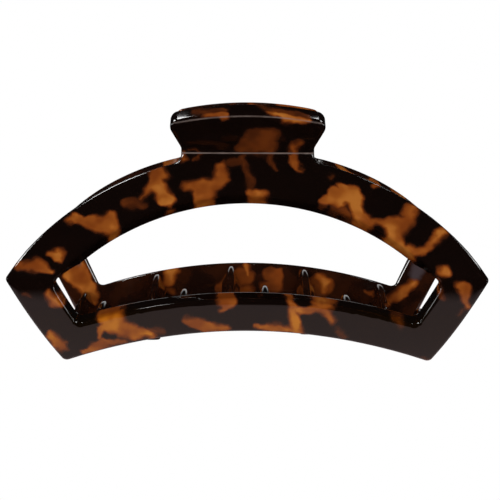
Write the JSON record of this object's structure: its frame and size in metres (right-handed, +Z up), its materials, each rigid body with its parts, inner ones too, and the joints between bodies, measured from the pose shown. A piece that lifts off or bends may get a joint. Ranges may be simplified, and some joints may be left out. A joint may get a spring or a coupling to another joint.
{
  "type": "hair claw clip",
  "caption": "Open-frame hair claw: two alike arched jaws of bent acetate sheet with thumb tabs and curved-in interlocking teeth, joined by a sprung steel hinge pin.",
  "frame": {"origin": "middle of the closed clip, on the surface that its four lower corners stand on", "axes": "+Z up towards the thumb tabs, X along the hinge pin, the front jaw towards -Y"},
  "size_m": [0.1098, 0.0558, 0.0598],
  "materials": {
    "tortoiseshell_acetate": "polished, near black with amber and red-brown tortoiseshell patches",
    "spring_steel": "drawn wire and turned pin, plain bright"
  },
  "bodies": {
    "front": {"front_jaw": "tortoiseshell_acetate", "hinge_pin": "spring_steel", "coil_spring": "spring_steel"},
    "back": {"back_jaw": "tortoiseshell_acetate"}
  },
  "joints": [
    {"name": "jaw_hinge", "type": "hinge", "parent": "front", "child": "back", "pos_m": [0, 0, 0.0472], "axis": [1, 0, 0], "range_deg": [0, 45], "stiffness_Nm_per_rad": 0.08, "springref_deg": -45.84, "deforming": ["coil_spring"]}
  ]
}
